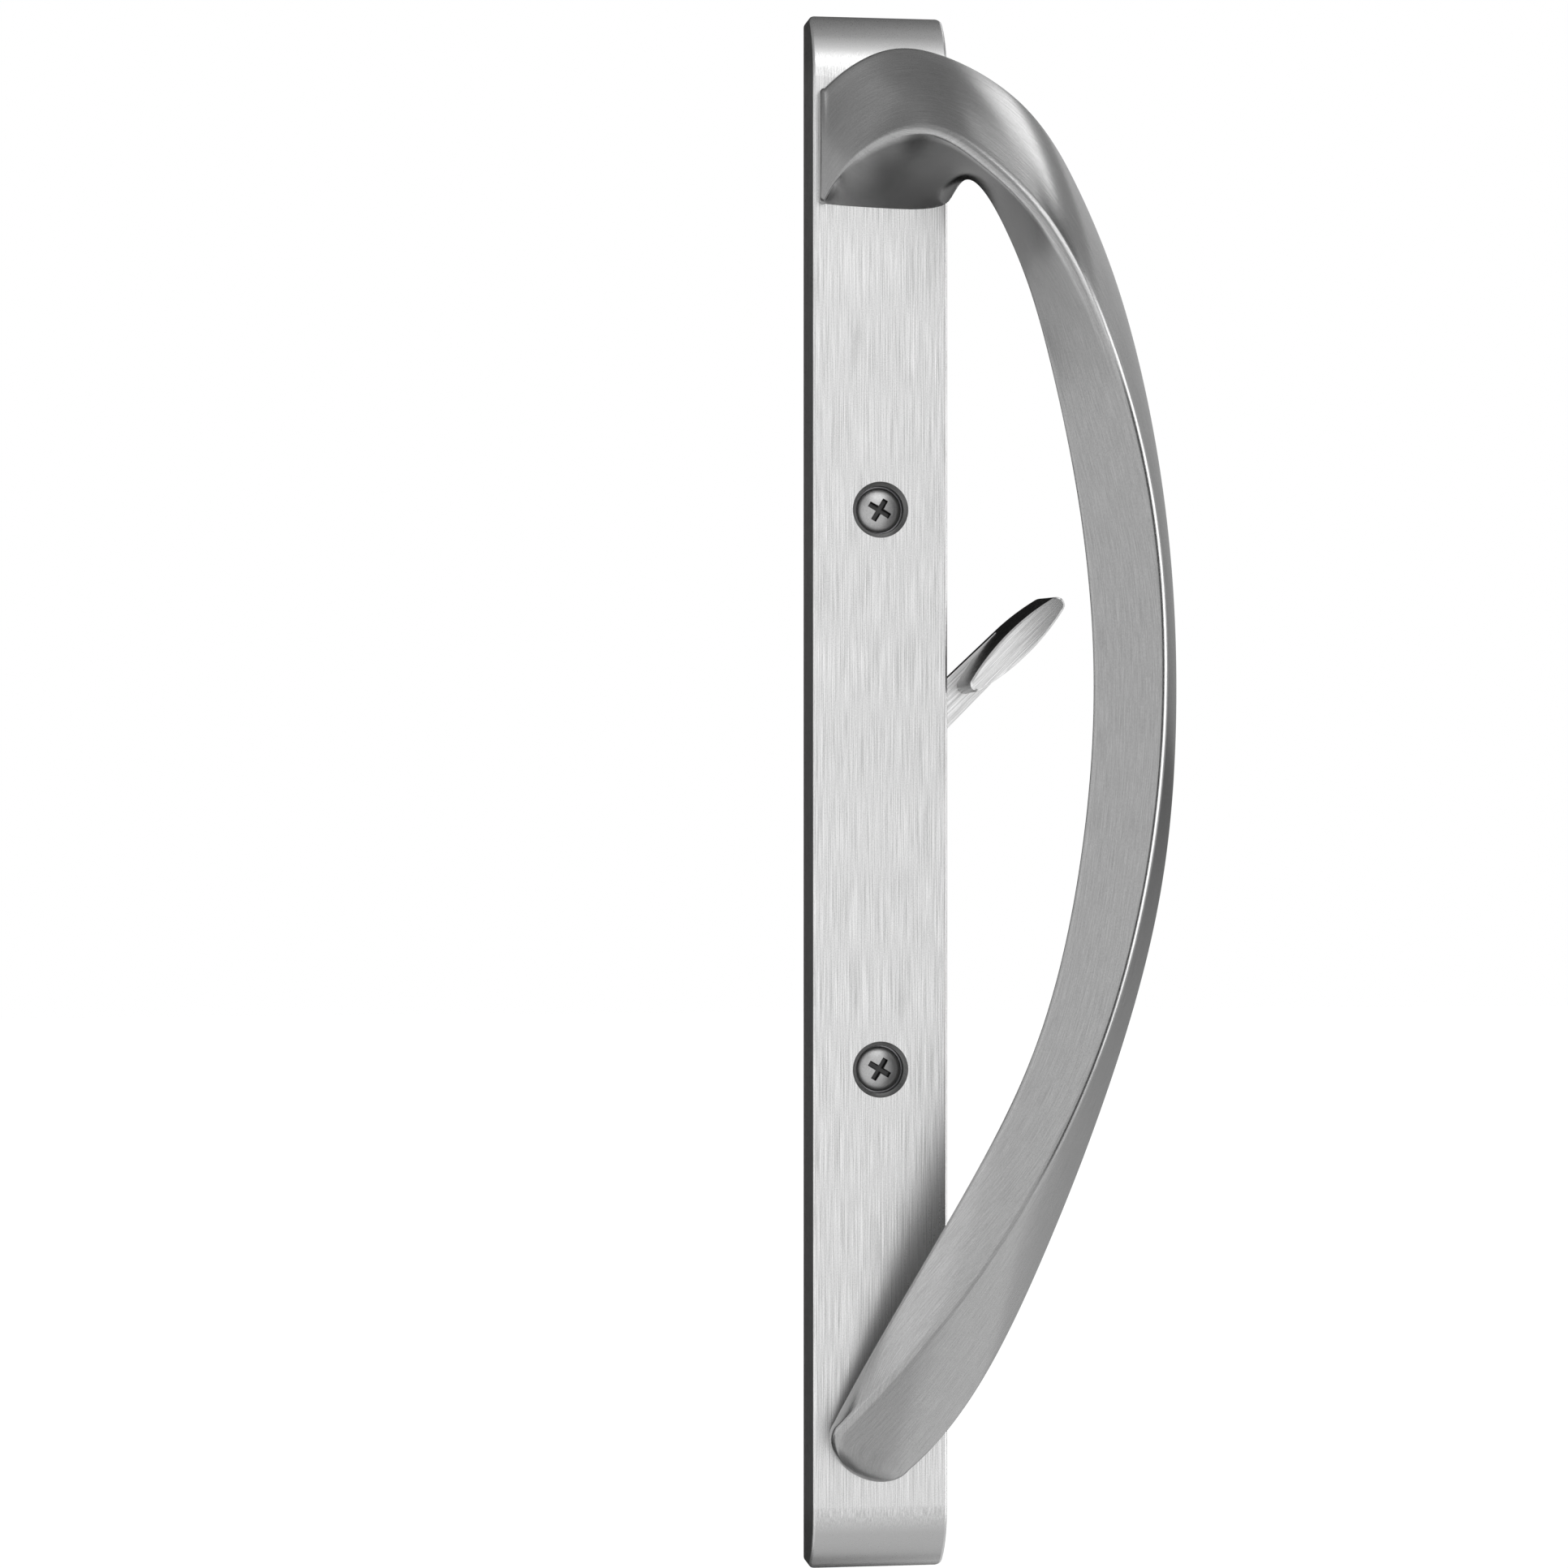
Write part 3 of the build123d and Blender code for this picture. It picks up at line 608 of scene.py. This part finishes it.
# Painted shadow in the narrow gap round each screw head
repaint_patch(brushed_plate, patch_group("Screw gap shadow", in_gap_shadow), grey(0.02))
repaint_patch(brushed_plate, patch_group("Hollow back", in_hollow), (0.34, 0.34, 0.35))

satin_grip = metal("satin pull", grey(0.36), gloss=0.25, grain_depth=0.5, along="UV",
                   stretch=(160.0, 5200.0, 1.0), stroke_depth=0.8)
# Painted shade: the pull is darkened under the top arch, on the back of its lower half and at the top
# foot's end
painted_shade_places = satin_grip.node_tree.nodes.new("ShaderNodeAttribute")
painted_shade_places.attribute_name = "painted_shade"
repaint(satin_grip, painted_shade_places.outputs["Fac"], grey(0.12))

brushed_lever = metal("brushed lever", grey(0.74), gloss=0.28, grain_depth=0.3, along="Object",
                      turn=-LEVER_ANGLE, stretch=(90.0, 6500.0, 6500.0), stroke_depth=1.6)
# Painted shade on the sides of the arm and the thumb paddle
repaint_patch(brushed_lever, patch_group("Lever side shade", on_lever_side_shade), grey(0.2))

plated_screw = metal("plated screw", grey(0.44), gloss=0.36, grain_depth=0.5)
# Painted shade in the cross of each screw head
repaint_patch(plated_screw, patch_group("Screw cross shade", in_cross_shade), grey(0.06))
zinc_steel = metal("zinc steel", (0.55, 0.56, 0.58), gloss=0.38, grain_depth=0.12)
spring_steel = metal("spring steel", (0.24, 0.24, 0.25), gloss=0.36, grain_depth=0.12)

nylon, nylon_tree, nylon_shader = new_material("bush nylon", metallic=0.0, roughness=0.5)
nylon_place = nylon_tree.nodes.new("ShaderNodeTexCoord")
nylon_marks = nylon_tree.nodes.new("ShaderNodeGroup")
nylon_marks.node_tree = FINISH_MARKS
nylon_marks.inputs["Colour"].default_value = (0.72, 0.71, 0.66, 1.0)
nylon_marks.inputs["Stroke depth"].default_value = 0.0
nylon_tree.links.new(nylon_place.outputs["Object"], nylon_marks.inputs["Grain"])
nylon_tree.links.new(nylon_marks.outputs["Tone"], nylon_shader.inputs["Base Color"])

dress("escutcheon", brushed_plate)
dress("latch_lever", brushed_lever)
dress("mounting_screws", plated_screw)
for name in ("pull_screws", "retaining_strap", "strap_screws", "tailpiece"):
    dress(name, zinc_steel)
for name in ("pull_lock_washers", "friction_washer", "tailpiece_pin"):
    dress(name, spring_steel)
dress("lever_bush", nylon)
pull.data.materials.append(satin_grip)

# Studio: a pale floor, a white surround, and lit screens and dark cards that the metal mirrors
FLOOR_DROP = 0.36           # floor below the handle's lower end
FLOOR_REACH = 8.0           # floor's half width
FLOOR_GREY = 0.92
FLOOR_WHITE = 1.05          # brightness that the floor is lifted to where it is seen or mirrored

# Screens and cards: first and last azimuth, counted from the front towards +X, first and last
# elevation, both in degrees, distance in metres, and brightness at the lower and the upper rim
SCREEN_STEPS = (25, 13)     # places across and up each one
STUDIO_SCREENS = {
    "right screen": ((46, 76), (-30, 38), 0.9, (3.6, 3.6)),
    "right card": ((76, 104), (-40, 34), 0.9, (0.75, 0.75)),
    "lower right screen": ((48, 66), (-50, -30), 0.9, (1.6, 2.8)),
    "upper right screen": ((104, 138), (48, 63), 0.9, (2.9, 1.5)),
    "upper right card": ((60, 104), (57, 80), 0.9, (1.3, 0.8)),
    "ridge flag": ((30, 102), (41, 57), 0.8, (0.15, 0.15)),
    "middle right card": ((100, 158), (34, 48), 0.8, (0.35, 0.5)),
    "top front screen": ((-18, 30), (32, 51), 0.9, (2.4, 2.4)),
    "top front card": ((-18, 40), (51, 75), 0.9, (1.4, 0.7)),
    "near flag": ((27, 44), (-48, 40), 0.15, (0.02, 0.02)),
    "back right card": ((104, 155), (0, 34), 0.6, (0.34, 0.75)),
    "lower back right card": ((104, 160), (-45, 0), 0.6, (0.8, 0.12)),
    "back flag": ((158, 228), (-75, 62), 0.5, (0.01, 0.01)),
    "left back card": ((215, 265), (-40, 2), 0.6, (0.15, 0.65)),
    "lower left screen": ((250, 288), (-24, 3), 0.5, (1.3, 1.3)),
    "ceiling card": ((-180, 180), (58, 90), 1.0, (0.5, 0.33)),
    "left upper card": ((-84, -18), (24, 70), 0.5, (0.62, 0.55)),
    "left back upper card": ((-130, -84), (26, 70), 0.5, (0.45, 0.35)),
    "back ceiling card": ((138, 230), (56, 82), 0.8, (0.2, 0.25)),
    "low front card": ((-11, 60), (-76, -22), 0.47, (0.75, 0.9)),
    "low middle card": ((-15, 120), (-90, -76), 0.47, (0.7, 0.75)),
    "low back card": ((120, 345), (-90, -76), 0.47, (0.2, 0.25)),
    "low left card": ((205, 265), (-76, -40), 0.47, (0.1, 0.15)),
}


def studio_sheet(name, corners, faces):
    """Piece of the studio round the handle, which isn't part of it."""
    mesh = bpy.data.meshes.new(name)
    mesh.from_pydata(corners, [], faces)
    piece = bpy.data.objects.new(name, mesh)
    bpy.context.collection.objects.link(piece)
    return piece


def studio_screen(name, azimuth, elevation, reach, brightness):
    """Part of a ball round the handle, between two azimuths and two elevations, that glows.

    A place at azimuth a and elevation e is reach times (sin a cos e, -cos a cos e, sin e). The
    brightness runs evenly with height from its lower rim to its upper one. Only the metal's
    reflections show it.
    """
    across, up = SCREEN_STEPS
    a, e = np.radians(np.meshgrid(np.linspace(*azimuth, across), np.linspace(*elevation, up)))
    ball = reach * np.stack([np.sin(a) * np.cos(e), -np.cos(a) * np.cos(e), np.sin(e)], axis=-1)
    place = np.arange(a.size).reshape(a.shape)
    quads = np.stack([place[:-1, :-1], place[:-1, 1:], place[1:, 1:], place[1:, :-1]], axis=-1)
    screen = studio_sheet(name, ball.reshape(-1, 3).tolist(), quads.reshape(-1, 4).tolist())
    material = bpy.data.materials.new(name)
    material.use_nodes = True
    nodes = material.node_tree.nodes
    nodes.remove(nodes["Principled BSDF"])
    glow = nodes.new("ShaderNodeEmission")
    where = nodes.new("ShaderNodeTexCoord")
    height = nodes.new("ShaderNodeSeparateXYZ")
    shade = nodes.new("ShaderNodeMapRange")
    for rim, angle, value in zip(("Min", "Max"), elevation, brightness):
        shade.inputs["From " + rim].default_value = reach * math.sin(math.radians(angle))
        shade.inputs["To " + rim].default_value = value
    links = material.node_tree.links
    links.new(where.outputs["Object"], height.inputs["Vector"])
    links.new(height.outputs["Z"], shade.inputs["Value"])
    links.new(shade.outputs["Result"], glow.inputs["Strength"])
    links.new(glow.outputs["Emission"], nodes["Material Output"].inputs["Surface"])
    screen.data.materials.append(material)
    screen.visible_camera = False
    screen.visible_diffuse = False
    screen.visible_shadow = False
    screen.visible_transmission = False


for name, measures in STUDIO_SCREENS.items():
    studio_screen(name, *measures)

floor_z = plate_low.z - FLOOR_DROP
floor_signs = ((-1, -1), (1, -1), (1, 1), (-1, 1))
floor_corners = [(FLOOR_REACH * x, FLOOR_REACH * y, floor_z) for x, y in floor_signs]
floor = studio_sheet("floor", floor_corners, [(0, 1, 2, 3)])
floor_paint, floor_tree, floor_shader = new_material("pale floor", metallic=0.0, roughness=0.9)
floor_shader.inputs["Base Color"].default_value = (*grey(FLOOR_GREY), 1.0)
floor_shader.inputs["Specular IOR Level"].default_value = 0.0
floor_shader.inputs["Emission Color"].default_value = (1.0, 1.0, 1.0, 1.0)
path_kind = floor_tree.nodes.new("ShaderNodeLightPath").outputs
floor_calc = math_maker(floor_tree.nodes, floor_tree.links)
seen = floor_calc("ADD", path_kind["Is Camera Ray"], path_kind["Is Glossy Ray"])
seen = floor_calc("ADD", seen, path_kind["Is Transmission Ray"])
lift = floor_calc("MULTIPLY", seen, FLOOR_WHITE - FLOOR_GREY)
floor_tree.links.new(lift, floor_shader.inputs["Emission Strength"])
floor.data.materials.append(floor_paint)

world = bpy.data.worlds.new("white surround")
bpy.context.scene.world = world
world.use_nodes = True
sky = world.node_tree.nodes["Background"]
sky.inputs["Color"].default_value = (1.0, 1.0, 1.0, 1.0)
sky.inputs["Strength"].default_value = 1.0

camera = bpy.data.objects.new("camera", bpy.data.cameras.new("camera"))
camera.location = CAMERA_PLACE
camera.rotation_euler = (math.pi / 2, 0.0, -CAMERA_YAW)
camera.data.lens = CAMERA_LENS_MM
camera.data.sensor_width = CAMERA_SENSOR_MM
bpy.context.collection.objects.link(camera)
bpy.context.scene.camera = camera

bpy.context.scene.view_settings.view_transform = "Standard"
